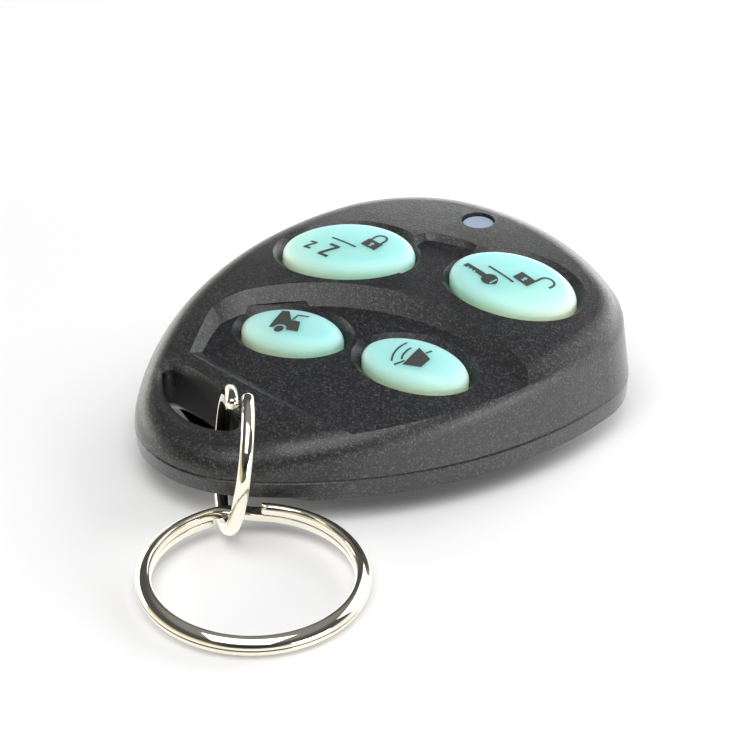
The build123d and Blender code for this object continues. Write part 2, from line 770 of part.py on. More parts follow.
# Jump ring: one turn of round wire, its rounded ends side by side in the slot
heading = radians(jump_heading)
lean = radians(jump_lean)
jump_height = floor_gap + jump_wire / 2 + jump_radius * cos(lean)
along = Vector(cos(heading), sin(heading), 0)
upward = Vector(sin(heading) * sin(lean), -cos(heading) * sin(lean), cos(lean))
turn_start = radians(jump_end_angle)
jump_plane = Plane(origin=(*jump_place, jump_height),
                   x_dir=along * cos(turn_start) + upward * sin(turn_start),
                   z_dir=along.cross(upward))
coil_rise = jump_pitch * jump_turn / 360

with BuildPart(mode=Mode.PRIVATE) as jump_coil:
    with BuildLine() as jump_path:
        Helix(pitch=jump_pitch, height=coil_rise, radius=jump_radius, center=(0, 0, -coil_rise / 2))
    with BuildSketch(Plane(origin=jump_path.line @ 0, z_dir=jump_path.line % 0)):
        Circle(jump_wire / 2)
    sweep(path=jump_path.line, is_frenet=True)
    with Locations(jump_path.line @ 0, jump_path.line @ 1):
        Sphere(jump_wire / 2)
with BuildPart() as jump_ring:
    with Locations(jump_plane.location):
        add(jump_coil.part)
jump_ring.part.label = "jump_ring"
export_step(jump_ring.part, "parts/jump_ring.step")

# Split ring: two flat coils joined by a short rising step
coil_level = (split_coil_height + split_coil_gap) / 2
with BuildPart(mode=Mode.PRIVATE) as split_coil:
    for level in (-coil_level, coil_level):
        with BuildSketch(Plane.XZ):
            with Locations((split_radius, level)):
                RectangleRounded(split_width, split_coil_height, split_edge_radius)
        revolve(axis=Axis.Z, revolution_arc=360 - split_step_angle)
    step_rise = Helix(pitch=2 * coil_level * 360 / split_step_angle, height=2 * coil_level,
                      radius=split_radius, center=(0, 0, -coil_level), mode=Mode.PRIVATE)
    with BuildLine() as step_path:
        add(step_rise.moved(Location((0, 0, 0), (0, 0, -split_step_angle))))
    with BuildSketch(upright_plane((0, 0, 0), -split_step_angle)):
        with Locations((split_radius, -coil_level)):
            RectangleRounded(split_width, split_coil_height, split_edge_radius)
    sweep(path=step_path.line, normal=(0, 0, 1))
turn = degrees(atan2(jump_place[1] - split_place[1], jump_place[0] - split_place[0]))
reach = split_radius + split_width / 2
split_height = (floor_gap + reach * sin(radians(split_tilt))
                + (coil_level + split_coil_height / 2) * cos(radians(split_tilt)))
with BuildPart() as split_ring:
    with Locations(Location((*split_place, split_height), (0, 0, turn))
                   * Location((0, 0, 0), (0, -split_tilt, 0))
                   * Location((0, 0, 0), (0, 0, split_start_angle))):
        add(split_coil.part)
split_ring.part.label = "split_ring"
export_step(split_ring.part, "parts/split_ring.step")
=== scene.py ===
import json
import math

import bmesh
import bpy
from mathutils import Matrix, Vector
from mathutils.geometry import tessellate_polygon


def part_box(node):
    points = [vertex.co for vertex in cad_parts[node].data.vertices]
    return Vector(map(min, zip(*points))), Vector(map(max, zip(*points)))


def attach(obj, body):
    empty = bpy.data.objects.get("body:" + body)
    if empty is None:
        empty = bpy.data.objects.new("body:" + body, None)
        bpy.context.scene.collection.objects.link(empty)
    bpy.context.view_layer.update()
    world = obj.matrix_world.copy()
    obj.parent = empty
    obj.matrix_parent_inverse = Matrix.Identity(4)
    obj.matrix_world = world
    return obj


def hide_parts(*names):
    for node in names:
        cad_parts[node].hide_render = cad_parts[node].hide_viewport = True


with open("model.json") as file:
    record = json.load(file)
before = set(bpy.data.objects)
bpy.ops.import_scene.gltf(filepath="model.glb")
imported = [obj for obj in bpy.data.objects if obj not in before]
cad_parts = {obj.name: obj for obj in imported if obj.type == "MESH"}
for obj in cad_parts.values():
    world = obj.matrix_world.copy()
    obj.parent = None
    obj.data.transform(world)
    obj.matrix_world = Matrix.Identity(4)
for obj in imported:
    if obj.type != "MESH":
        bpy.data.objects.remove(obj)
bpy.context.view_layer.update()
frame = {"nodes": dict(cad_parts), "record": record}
nodes = frame["nodes"]
scene = bpy.context.scene
mm = 0.001
buttons = ("lock", "unlock", "trunk", "horn")
print("frame loaded:", len(nodes), "CAD nodes")


# Small helpers for objects and node trees

def linkObject(name, data):
    made = bpy.data.objects.new(name, data)
    scene.collection.objects.link(made)
    return made


def addNode(tree, kind, **settings):
    node = tree.nodes.new(kind)
    for name, value in settings.items():
        setattr(node, name, value)
    return node


def setInputs(node, **values):
    for name, value in values.items():
        node.inputs[name.replace("_", " ")].default_value = value
    return node


def mathNode(tree, operation, first, second=None, third=None):
    node = addNode(tree, "ShaderNodeMath", operation=operation)
    for index, value in enumerate((first, second, third)):
        if value is None:
            continue
        if isinstance(value, bpy.types.NodeSocket):
            tree.links.new(value, node.inputs[index])
        else:
            node.inputs[index].default_value = value
    return node.outputs[0]


def mixColour(tree, factor, first, second, blend="MIX"):
    node = addNode(tree, "ShaderNodeMix", data_type="RGBA", blend_type=blend)
    for index, value in ((0, factor), (6, first), (7, second)):
        if isinstance(value, bpy.types.NodeSocket):
            tree.links.new(value, node.inputs[index])
        elif index == 0:
            node.inputs[index].default_value = value
        else:
            node.inputs[index].default_value = (*value, 1)
    return node.outputs[2]


def rampNode(tree, source, stops, colours=False):
    node = addNode(tree, "ShaderNodeValToRGB")
    tree.links.new(source, node.inputs[0])
    while len(node.color_ramp.elements) < len(stops):
        node.color_ramp.elements.new(0.5)
    for element, (place, value) in zip(node.color_ramp.elements, stops):
        element.position = place
        element.color = (*value, 1) if colours else (value, value, value, 1)
    return node.outputs[0]


# Shader groups that several finishes share

def newShaderGroup(name, inputs, outputs):
    tree = bpy.data.node_groups.new(name, "ShaderNodeTree")
    for label, kind, value in inputs:
        socket = tree.interface.new_socket(name=label, in_out="INPUT", socket_type="NodeSocket" + kind)
        if value is not None:
            socket.default_value = value
    for label, kind in outputs:
        tree.interface.new_socket(name=label, in_out="OUTPUT", socket_type="NodeSocket" + kind)
    source = addNode(tree, "NodeGroupInput")
    result = addNode(tree, "NodeGroupOutput")
    return tree, source.outputs, result.inputs


def scaleFrom(tree, size):
    return mathNode(tree, "DIVIDE", 1.0, size)


mouldGrainMix = {
    "fineSize": 0.85,
    "pitSize": 0.85,
    "waveSize": 12.0,
    "fineShare": 0.7,
    "pitShare": 0.3,
    "calmHeight": 0.6,
    "sandPower": 5.0,
    "fleckRange": (0.58, 0.70),
}


def makeMouldGrain():
    # Fine noise with pits, stronger and weaker in broad waves; flecks are paler grains, and the sparse
    # sand specks are partly paler grains and partly painted glints of the grain
    tree, given, result = newShaderGroup(
        "mouldGrain",
        [("Vector", "Vector", None), ("Size", "Float", 0.0002), ("Unevenness", "Float", 0.5)],
        [("Height", "Float"), ("Fleck", "Float"), ("SandAndGlint", "Float")],
    )
    fine = addNode(tree, "ShaderNodeTexNoise")
    setInputs(fine, Detail=3.0, Roughness=0.65)
    pits = addNode(tree, "ShaderNodeTexVoronoi", feature="F1")
    broad = addNode(tree, "ShaderNodeTexNoise")
    setInputs(broad, Detail=2.0)
    lit = addNode(tree, "ShaderNodeSeparateColor")
    tree.links.new(pits.outputs["Color"], lit.inputs[0])
    sandAndGlint = mathNode(tree, "POWER", lit.outputs[0], mouldGrainMix["sandPower"])
    tree.links.new(sandAndGlint, result["SandAndGlint"])
    for node, share in ((fine, "fineSize"), (pits, "pitSize"), (broad, "waveSize")):
        tree.links.new(given["Vector"], node.inputs["Vector"])
        size = mathNode(tree, "MULTIPLY", given["Size"], mouldGrainMix[share])
        tree.links.new(scaleFrom(tree, size), node.inputs["Scale"])
    rough = mathNode(tree, "MULTIPLY", fine.outputs["Fac"], mouldGrainMix["fineShare"])
    grain = mathNode(tree, "MULTIPLY_ADD", pits.outputs["Distance"], mouldGrainMix["pitShare"], rough)
    wave = mathNode(
        tree, "MULTIPLY_ADD", broad.outputs["Fac"], given["Unevenness"], mouldGrainMix["calmHeight"])
    tree.links.new(mathNode(tree, "MULTIPLY", grain, wave), result["Height"])
    low, high = mouldGrainMix["fleckRange"]
    tree.links.new(rampNode(tree, fine.outputs["Fac"], ((low, 0.0), (high, 1.0))), result["Fleck"])
    return tree


dustMix = {"smudgeSize": 3.0, "emptyShare": 0.55, "smudgeRange": (0.35, 0.70)}


def makeDust():
    # Single specks in some of the cells, and broad smudges where fingers have been
    tree, given, result = newShaderGroup(
        "dust",
        [("Vector", "Vector", None), ("Spacing", "Float", 0.004), ("Speck", "Float", 0.02)],
        [("Mask", "Float"), ("Smudge", "Float")],
    )
    cells = addNode(tree, "ShaderNodeTexVoronoi", feature="F1")
    smudge = addNode(tree, "ShaderNodeTexNoise")
    setInputs(smudge, Detail=4.0, Roughness=0.6)
    tree.links.new(given["Vector"], cells.inputs["Vector"])
    tree.links.new(given["Vector"], smudge.inputs["Vector"])
    tree.links.new(scaleFrom(tree, given["Spacing"]), cells.inputs["Scale"])
    wide = mathNode(tree, "MULTIPLY", given["Spacing"], dustMix["smudgeSize"])
    tree.links.new(scaleFrom(tree, wide), smudge.inputs["Scale"])
    chosen = addNode(tree, "ShaderNodeSeparateColor")
    tree.links.new(cells.outputs["Color"], chosen.inputs[0])
    near = mathNode(tree, "LESS_THAN", cells.outputs["Distance"], given["Speck"])
    few = mathNode(tree, "GREATER_THAN", chosen.outputs[0], dustMix["emptyShare"])
    tree.links.new(mathNode(tree, "MULTIPLY", near, few), result["Mask"])
    low, high = dustMix["smudgeRange"]
    tree.links.new(rampNode(tree, smudge.outputs["Fac"], ((low, 0.0), (high, 1.0))), result["Smudge"])
    return tree


mouldGrain = makeMouldGrain()
dust = makeDust()
print("shader groups built")


# Materials

def newMaterial(name, **shader):
    material = bpy.data.materials.new(name)
    material.use_nodes = True
    tree = material.node_tree
    surface = tree.nodes["Principled BSDF"]
    for label, value in shader.items():
        surface.inputs[label.replace("_", " ")].default_value = value
    place = addNode(tree, "ShaderNodeTexCoord").outputs["Object"]
    return material, tree, surface.inputs, place


def useGroup(tree, group, place, **values):
    node = addNode(tree, "ShaderNodeGroup", node_tree=group)
    tree.links.new(place, node.inputs["Vector"])
    setInputs(node, **values)
    return node.outputs


def bumpFrom(tree, height, distance):
    node = addNode(tree, "ShaderNodeBump")
    setInputs(node, Strength=1.0, Distance=distance)
    tree.links.new(height, node.inputs["Height"])
    return node.outputs[0]


casePlastic = {
    "black": (0.0042, 0.0043, 0.0047),
    "fleck": (0.021, 0.022, 0.024),
    # pale sand specks: partly grain, partly painted glints of the grained surface
    "sandAndGlint": (0.064, 0.065, 0.070),
    "slotMiddle": (-13.2, -19.0, 1.5),  # millimetres
    "slotReach": (8.6, 4.4, 12.0),
    "slotTurn": -27.8,
    "slotEdge": 0.86,  # share of slotReach where the painted shade on the slot walls starts to fade out
    # painted shade: the darker colour of the slot walls stands in for the shade inside the slot
    "slotPaintedShade": (0.0012, 0.0012, 0.0013),
    "slotRoughness": 0.85,
    "roughness": (0.29, 0.37),
    "grainSize": 0.00018,  # metres, as all sizes of grain and dust are
    "grainDepth": 0.00005,
    "unevenness": 0.6,
    "dustSpacing": 0.0045,
    "dustSpeck": 0.016,
    "dustColour": (0.55, 0.53, 0.48),
}


def makeCasePlastic():
    made, tree, surface, place = newMaterial("blackCasePlastic", IOR=1.5)
    grain = useGroup(
        tree, mouldGrain, place, Size=casePlastic["grainSize"], Unevenness=casePlastic["unevenness"])
    specks = useGroup(
        tree, dust, place, Spacing=casePlastic["dustSpacing"], Speck=casePlastic["dustSpeck"])
    base = mixColour(tree, grain["Fleck"], casePlastic["black"], casePlastic["fleck"])
    # Pale sand specks: partly grain, partly painted glints standing in for the sparkle of the grained
    # surface
    base = mixColour(tree, grain["SandAndGlint"], base, casePlastic["sandAndGlint"])
    base = mixColour(tree, specks["Mask"], base, casePlastic["dustColour"])
    low, high = casePlastic["roughness"]
    rough = mathNode(tree, "MULTIPLY_ADD", specks["Smudge"], high - low, low)
    # Painted shade: the walls of the key slot are darkened and made duller than the outside, standing in
    # for the shade inside the slot
    slotPlace = addNode(tree, "ShaderNodeMapping", vector_type="TEXTURE")
    slotPlace.inputs["Location"].default_value = Vector(casePlastic["slotMiddle"]) * mm
    slotPlace.inputs["Rotation"].default_value = (0, 0, math.radians(casePlastic["slotTurn"]))
    slotPlace.inputs["Scale"].default_value = Vector(casePlastic["slotReach"]) * mm
    tree.links.new(place, slotPlace.inputs["Vector"])
    away = addNode(tree, "ShaderNodeVectorMath", operation="LENGTH")
    tree.links.new(slotPlace.outputs[0], away.inputs[0])
    slotShadeMask = rampNode(tree, away.outputs["Value"], ((casePlastic["slotEdge"], 1.0), (1.0, 0.0)))
    tree.links.new(mixColour(tree, slotShadeMask, base, casePlastic["slotPaintedShade"]), surface["Base Color"])
    duller = mathNode(tree, "SUBTRACT", casePlastic["slotRoughness"], rough)
    tree.links.new(mathNode(tree, "MULTIPLY_ADD", duller, slotShadeMask, rough), surface["Roughness"])
    tree.links.new(bumpFrom(tree, grain["Height"], casePlastic["grainDepth"]), surface["Normal"])
    return made


keyRubber = {
    "top": (0.34, 0.72, 0.68),
    "middle": (0.46, 0.82, 0.66),
    # foot: partly the rubber's own tone, partly painted light for the glow through the rubber
    "foot": (0.80, 1.0, 0.62),
    "speck": (0.30, 0.42, 0.36),
    "footBelowTop": 3.2,  # millimetres
    "domeBelowTop": 0.3,
    "middleAt": 0.55,
    "topAt": 0.95,
    "subsurfaceRadius": (0.7, 1.0, 0.85),
    "subsurfaceScale": 0.006,
    "roughness": (0.42, 0.52),
    "grainSize": 0.00025,
    "grainDepth": 0.000004,
    "unevenness": 0.3,
    "dustSpacing": 0.0022,
    "dustSpeck": 0.012,
}


def makeKeyRubber(name, top):
    # Yellower and paler towards the foot of the key, bluer on its dome; the pale foot is partly the
    # rubber's own tone and partly painted light standing in for light that glows through the rubber
    made, tree, surface, place = newMaterial(
        "mintRubber_" + name,
        IOR=1.43,
        Subsurface_Weight=1.0,
        Subsurface_Radius=keyRubber["subsurfaceRadius"],
        Subsurface_Scale=keyRubber["subsurfaceScale"],
    )
    split = addNode(tree, "ShaderNodeSeparateXYZ")
    tree.links.new(place, split.inputs[0])
    rise = addNode(tree, "ShaderNodeMapRange")
    setInputs(rise, From_Min=top - keyRubber["footBelowTop"] * mm)
    setInputs(rise, From_Max=top - keyRubber["domeBelowTop"] * mm)
    tree.links.new(split.outputs["Z"], rise.inputs["Value"])
    stops = (
        (0.0, keyRubber["foot"]),
        (keyRubber["middleAt"], keyRubber["middle"]),
        (keyRubber["topAt"], keyRubber["top"]),
    )
    tone = rampNode(tree, rise.outputs["Result"], stops, colours=True)
    specks = useGroup(
        tree, dust, place, Spacing=keyRubber["dustSpacing"], Speck=keyRubber["dustSpeck"])
    tree.links.new(mixColour(tree, specks["Mask"], tone, keyRubber["speck"]), surface["Base Color"])
    grain = useGroup(
        tree, mouldGrain, place, Size=keyRubber["grainSize"], Unevenness=keyRubber["unevenness"])
    tree.links.new(bumpFrom(tree, grain["Height"], keyRubber["grainDepth"]), surface["Normal"])
    low, high = keyRubber["roughness"]
    tree.links.new(mathNode(tree, "MULTIPLY_ADD", specks["Smudge"], high - low, low), surface["Roughness"])
    return made


plainGrain = {"size": 0.0002, "unevenness": 0.4, "smudgeSpacing": 0.003, "fleckRoughness": 0.08}


def makePlain(name, colour, roughness, metallic=0.0, depth=0.000003, spread=0.25, **more):
    # depth is the height of the grain in metres, spread how much darker the smudges are
    made, tree, surface, place = newMaterial(name, Metallic=metallic, **more)
    grain = useGroup(
        tree, mouldGrain, place, Size=plainGrain["size"], Unevenness=plainGrain["unevenness"])
    specks = useGroup(tree, dust, place, Spacing=plainGrain["smudgeSpacing"])
    darker = tuple(channel * (1 - spread) for channel in colour)
    tree.links.new(mixColour(tree, specks["Smudge"], darker, colour), surface["Base Color"])
    rough = mathNode(tree, "MULTIPLY_ADD", grain["Fleck"], plainGrain["fleckRoughness"], roughness)
    tree.links.new(rough, surface["Roughness"])
    tree.links.new(bumpFrom(tree, grain["Height"], depth), surface["Normal"])
    return made


finishes = {"case_plastic": makeCasePlastic()}
plainFinishes = {
    "web_rubber": dict(colour=(0.34, 0.80, 0.62), roughness=0.50, depth=0.000005),
    "lens_plastic": dict(colour=(0.35, 0.43, 0.54), roughness=0.22, spread=0.1, Coat_Weight=0.3),
    "ring_steel": dict(
        colour=(0.56, 0.53, 0.45), roughness=0.06, metallic=1.0, depth=0.0000008, spread=0.06),
    "board_laminate": dict(colour=(0.015, 0.11, 0.045), roughness=0.32, depth=0.000004),
    "component_black": dict(colour=(0.020, 0.020, 0.022), roughness=0.48, depth=0.000006),
    "component_metal": dict(colour=(0.62, 0.61, 0.58), roughness=0.26, metallic=1.0),
    "contact_steel": dict(colour=(0.72, 0.68, 0.58), roughness=0.22, metallic=1.0),
    "cell_steel": dict(colour=(0.68, 0.68, 0.67), roughness=0.20, metallic=1.0),
    "screw_steel": dict(colour=(0.16, 0.16, 0.17), roughness=0.34, metallic=1.0, depth=0.000005),
    "chip_ceramic": dict(colour=(0.42, 0.28, 0.16), roughness=0.45),
    "lamp_body": dict(colour=(0.85, 0.82, 0.66), roughness=0.18, Coat_Weight=0.5),
}
for slotName, settings in plainFinishes.items():
    finishes[slotName] = makePlain(slotName.replace("_", "") + "Finish", **settings)
for button in buttons:
    finishes[button] = makeKeyRubber(button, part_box(button + "_key")[1].z)

slotOf = {row["node"]: row["material_slot"] for row in frame["record"]["subparts"]}
for name, node in nodes.items():
    chosen = finishes[name.split("_")[0]] if name.endswith("_key") else finishes[slotOf[name]]
    for index in range(len(node.material_slots)):
        node.material_slots[index].material = chosen
print("materials on all CAD nodes")


# Geometry Nodes helpers

def newGeometryTree(name, inputs):
    tree = bpy.data.node_groups.new(name, "GeometryNodeTree")
    for label, kind, value in inputs:
        socket = tree.interface.new_socket(name=label, in_out="INPUT", socket_type="NodeSocket" + kind)
        if value is not None:
            socket.default_value = value
    tree.interface.new_socket(name="Geometry", in_out="OUTPUT", socket_type="NodeSocketGeometry")
    source = addNode(tree, "NodeGroupInput")
    result = addNode(tree, "NodeGroupOutput")
    return tree, source.outputs, result.inputs


def finishTree(tree, geometry, material, result):
    realize = addNode(tree, "GeometryNodeRealizeInstances")
    paint = addNode(tree, "GeometryNodeSetMaterial")
    tree.links.new(geometry, realize.inputs[0])
    tree.links.new(realize.outputs[0], paint.inputs["Geometry"])
    tree.links.new(material, paint.inputs["Material"])
    tree.links.new(paint.outputs[0], result["Geometry"])


def bakeTree(name, tree, start, place=Matrix.Identity(4), **inputs):
    # Runs the tree once on the start mesh and keeps the result as a plain mesh
    worker = linkObject(name + "Source", start)
    modifier = worker.modifiers.new("build", "NODES")
    modifier.node_group = tree
    for socket in tree.interface.items_tree:
        if socket.in_out == "INPUT" and socket.name in inputs:
            modifier[socket.identifier] = inputs[socket.name]
    evaluated = worker.evaluated_get(bpy.context.evaluated_depsgraph_get())
    mesh = bpy.data.meshes.new_from_object(evaluated)
    bpy.data.objects.remove(worker)
    mesh.name = name
    mesh.transform(place)
    return linkObject(name, mesh)


# Pictograms printed on the keys: flat outlines in millimetres, laid onto each dome. The ink's own
# sizes, such as its thickness, are in metres

printInk = {
    "colour": (0.040, 0.043, 0.040),
    "worn": (0.075, 0.085, 0.078),
    "grainSize": 0.00012,
    "grainDepth": 0.000006,
    "unevenness": 0.5,
    "roughness": (0.38, 0.58),
    "thickness": 0.00002,
    "sink": 0.000008,
    "weld": 0.000001,
    "divisions": 3,
    "startHeight": 0.03,
    "rayLength": 0.1,
}


def makePrintInk():
    made, tree, surface, place = newMaterial("printInk", IOR=1.45)
    grain = useGroup(
        tree, mouldGrain, place, Size=printInk["grainSize"], Unevenness=printInk["unevenness"])
    shade = mixColour(tree, grain["Fleck"], printInk["colour"], printInk["worn"])
    tree.links.new(shade, surface["Base Color"])
    low, high = printInk["roughness"]
    tree.links.new(mathNode(tree, "MULTIPLY_ADD", grain["Height"], high - low, low), surface["Roughness"])
    tree.links.new(bumpFrom(tree, grain["Height"], printInk["grainDepth"]), surface["Normal"])
    return made


def makePrintTree():
    # Lays a flat outline onto the key from above and gives it a thickness
    tree, given, result = newGeometryTree(
        "printOnKey",
        [
            ("Geometry", "Geometry", None),
            ("Key", "Object", None),
            ("Start Height", "Float", 0.03),
            ("Sink", "Float", 0.00001),
            ("Thickness", "Float", 0.00003),
            ("Divisions", "Int", 3),
            ("Material", "Material", None),
        ],
    )
    divide = addNode(tree, "GeometryNodeSubdivideMesh")
    tree.links.new(given["Geometry"], divide.inputs["Mesh"])
    tree.links.new(given["Divisions"], divide.inputs["Level"])
    target = addNode(tree, "GeometryNodeObjectInfo")
    tree.links.new(given["Key"], target.inputs["Object"])
    position = addNode(tree, "GeometryNodeInputPosition")
    split = addNode(tree, "ShaderNodeSeparateXYZ")
    tree.links.new(position.outputs[0], split.inputs[0])
    above = addNode(tree, "ShaderNodeCombineXYZ")
    tree.links.new(split.outputs["X"], above.inputs["X"])
    tree.links.new(split.outputs["Y"], above.inputs["Y"])
    tree.links.new(given["Start Height"], above.inputs["Z"])
    ray = addNode(tree, "GeometryNodeRaycast")
    ray.inputs["Ray Direction"].default_value = (0, 0, -1)
    ray.inputs["Ray Length"].default_value = printInk["rayLength"]
    tree.links.new(target.outputs["Geometry"], ray.inputs["Target Geometry"])
    tree.links.new(above.outputs[0], ray.inputs["Source Position"])
    down = addNode(tree, "ShaderNodeCombineXYZ")
    tree.links.new(mathNode(tree, "MULTIPLY", given["Sink"], -1.0), down.inputs["Z"])
    lay = addNode(tree, "GeometryNodeSetPosition")
    tree.links.new(divide.outputs[0], lay.inputs["Geometry"])
    tree.links.new(ray.outputs["Hit Position"], lay.inputs["Position"])
    tree.links.new(down.outputs[0], lay.inputs["Offset"])
    thicken = addNode(tree, "GeometryNodeExtrudeMesh", mode="FACES")
    thicken.inputs["Individual"].default_value = False
    upward = addNode(tree, "ShaderNodeCombineXYZ")
    upward.inputs["Z"].default_value = 1.0
    tree.links.new(lay.outputs[0], thicken.inputs["Mesh"])
    tree.links.new(upward.outputs[0], thicken.inputs["Offset"])
    tree.links.new(given["Thickness"], thicken.inputs["Offset Scale"])
    under = addNode(tree, "GeometryNodeFlipFaces")
    tree.links.new(lay.outputs[0], under.inputs[0])
    both = addNode(tree, "GeometryNodeJoinGeometry")
    tree.links.new(thicken.outputs["Mesh"], both.inputs[0])
    tree.links.new(under.outputs[0], both.inputs[0])
    weld = addNode(tree, "GeometryNodeMergeByDistance")
    weld.inputs["Distance"].default_value = printInk["weld"]
    tree.links.new(both.outputs[0], weld.inputs["Geometry"])
    finishTree(tree, weld.outputs[0], given["Material"], result)
    return tree


def arcLine(centre, radius, start, end, steps=12):
    turns = [math.radians(start + (end - start) * i / steps) for i in range(steps + 1)]
    return [(centre[0] + radius * math.cos(t), centre[1] + radius * math.sin(t)) for t in turns]


def bar(start, end, width):
    along = (Vector(end) - Vector(start)).normalized() * (width / 2)
    side = Vector((-along.y, along.x))
    return [tuple(Vector(p) + k * side) for p, k in ((start, 1), (start, -1), (end, -1), (end, 1))]


def arcBar(centre, radius, start, end, width):
    outer = arcLine(centre, radius + width / 2, start, end)
    return outer + arcLine(centre, radius - width / 2, end, start)


def letterZed(width, height, stroke):
    x, y, slant = width / 2, height / 2, stroke * 1.4
    return [(-x, y), (x, y), (x, y - stroke), (slant - x, stroke - y), (x, stroke - y),
            (x, -y), (-x, -y), (-x, stroke - y), (x - slant, y - stroke), (-x, y - stroke)]


def padlockShapes(width, height, reach, stroke, shift):
    # Body with a keyhole, and a shackle that stands over it or swings to the right by shift
    x, y = width / 2, height / 2
    holeAt, holeRadius, holeHalf, holeFoot = 0.12, 0.24, 0.22, -0.42
    keyhole = arcLine((0, holeAt), holeRadius, -55, 235) + [(-holeHalf, holeFoot), (holeHalf, holeFoot)]
    body = ([(-x, -y), (x, -y), (x, y), (-x, y)], [keyhole])
    bend = reach + y
    outer = [(shift - reach - stroke / 2, y)] + arcLine((shift, bend), reach + stroke / 2, 180, 0)
    inner = arcLine((shift, bend), reach - stroke / 2, 0, 180) + [(shift - reach + stroke / 2, y)]
    foot = y + (0.02 if shift == 0 else 0.35)  # the open one ends in the air
    ends = [(shift + reach + stroke / 2, foot), (shift + reach - stroke / 2, foot)]
    return [body, (outer + ends + inner, [])]


def keyShapes(length, bow, stem):
    # Key with its bow round the origin, a slot in the bow, and a notched blade that points along -X
    tipGap, pitch, width, bevel, depth = 0.5, 0.55, 0.42, 0.12, stem * 0.35
    blade = [(-length, stem / 2), (-length, -stem / 2)]
    for i in range(3):
        x = tipGap - length + i * pitch
        blade += [(x, -stem / 2), (x + bevel, depth - stem / 2)]
        blade += [(x + width - bevel, depth - stem / 2), (x + width, -stem / 2)]
    blade += [(-bow, -stem / 2), (-bow, stem / 2)]
    head = []
    for degrees in range(-168, 169, 12):
        bulge = 1.0 if abs(degrees) > 20 else 1.12
        t = math.radians(degrees)
        head.append((bow * bulge * math.cos(t), bow * 0.92 * math.sin(t)))
    slotAt, slotHalf, slotRadius = bow * 0.58, 0.42, 0.13
    slotHole = arcLine((slotAt, slotHalf), slotRadius, 0, 180, 6)
    slotHole += arcLine((slotAt, -slotHalf), slotRadius, 180, 360, 6)
    return [(blade, []), (head, [slotHole])]


def carShapes():
    # Side of a car with its rear lid up, and its wheel
    axle, archRadius, wheelRadius = (-0.85, -1.45), 0.82, 0.54
    body = [(-2.15, -1.38), (-2.28, 1.80), (-1.42, 1.88), (-0.32, 0.34), (0.80, 0.36), (1.46, -1.32)]
    body += arcLine(axle, archRadius, 175, 5, 10)[::-1]
    wheel = arcLine(axle, wheelRadius, 0, 345, 23)
    hinge, elbow, tip, lid = (-0.20, 0.44), (-0.06, 1.42), (1.26, 1.54), 0.20
    return [(outline, []) for outline in (body, wheel, bar(hinge, elbow, lid), bar(elbow, tip, lid))]


def hornShapes():
    # Horn with its wide mouth on the left, two sound waves, and a bar that runs behind it
    body = [(-0.16, 1.22), (1.78, 0.06), (1.56, -1.54), (-0.42, -2.06)]
    middle, stroke = (1.5, -0.25), 0.22
    outlines = [body]
    for radius, half in ((3.7, 28), (2.65, 24)):
        outlines.append(arcBar(middle, radius, 180 - half, 180 + half, stroke))
    outlines.append(bar((-1.25, -2.42), (-0.52, -1.42), stroke))
    outlines.append(bar((0.92, 0.72), (1.32, 1.38), stroke))
    return [(outline, []) for outline in outlines]


def turned(shapes, centre, tilt):
    c, n = math.cos(math.radians(tilt)), math.sin(math.radians(tilt))

    def move(loop):
        return [(centre[0] + x * c - y * n, centre[1] + x * n + y * c) for x, y in loop]
    return [(move(outline), [move(hole) for hole in holes]) for outline, holes in shapes]


# Well middles and turns of the keys, and the marks in each key's own frame
keyMarks = {
    "lock": ((-8.9, 8.4), 9.0,
             turned(padlockShapes(2.05, 1.45, 0.72, 0.27, 0), (2.75, -0.2), -26)
             + [(bar((-2.1, 0.5), (1.2, -1.15), 0.24), [])]
             + turned([(letterZed(1.45, 2.3, 0.34), [])], (-1.65, -2.1), -26)
             + turned([(letterZed(1.0, 1.4, 0.26), [])], (-4.15, -1.0), -26)),
    "unlock": ((10.6, 9.8), -3.0,
               turned(padlockShapes(2.2, 1.5, 0.84, 0.27, 1.85), (1.5, -0.14), -17.5)
               + [(bar((-3.0, 0.0), (0.72, -1.36), 0.24), [])]
               + turned(keyShapes(4.1, 0.98, 0.66), (-1.75, -2.2), -22)),
    "trunk": ((-8.7, -5.6), -2.4, carShapes()),
    "horn": ((6.5, -6.3), -2.4, hornShapes()),
}


def flatMarks(name, middle, turn, shapes):
    corners, faces = [], []
    for outline, holes in turned(shapes, middle, turn):
        loops = [[Vector((x, y, 0)) for x, y in loop] for loop in (outline, *holes)]
        first = len(corners)
        corners += [point * mm for loop in loops for point in loop]
        faces += [tuple(first + i for i in face) for face in tessellate_polygon(loops)]
    mesh = bpy.data.meshes.new(name + "Flat")
    mesh.from_pydata(corners, [], faces)
    shape = bmesh.new()
    shape.from_mesh(mesh)
    bmesh.ops.recalc_face_normals(shape, faces=shape.faces)
    for face in shape.faces:
        if face.normal.z < 0:
            face.normal_flip()
    shape.to_mesh(mesh)
    shape.free()
    return mesh


ink = makePrintInk()
printTree = makePrintTree()
for button, (middle, turn, shapes) in keyMarks.items():
    marks = bakeTree(
        button + "_marks", printTree, flatMarks(button, middle, turn, shapes),
        Key=nodes[button + "_key"],
        Sink=printInk["sink"], Thickness=printInk["sink"] + printInk["thickness"], Material=ink,
        Divisions=printInk["divisions"], **{"Start Height": printInk["startHeight"]},
    )
    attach(marks, button + "_button")
print("pictograms laid on the keys")


# Jump ring: one turn and a little more of round wire, its cut ends side by side in the slot

jumpRing = {
    "wire": 1.5,
    "radius": 7.2,
    "rise": 1.71,
    "turns": 1.04,
    "endAngle": 100.0,
    "tipLength": 0.4,
    "place": (-5.08, -26.12),
    "floorGap": 0.02,  # both rings stay this much above the floor
    "heading": 123.0,
    "lean": 8.0,
    "points": 400,
    "wireSides": 28,
    "tipNarrowing": 0.75,
}


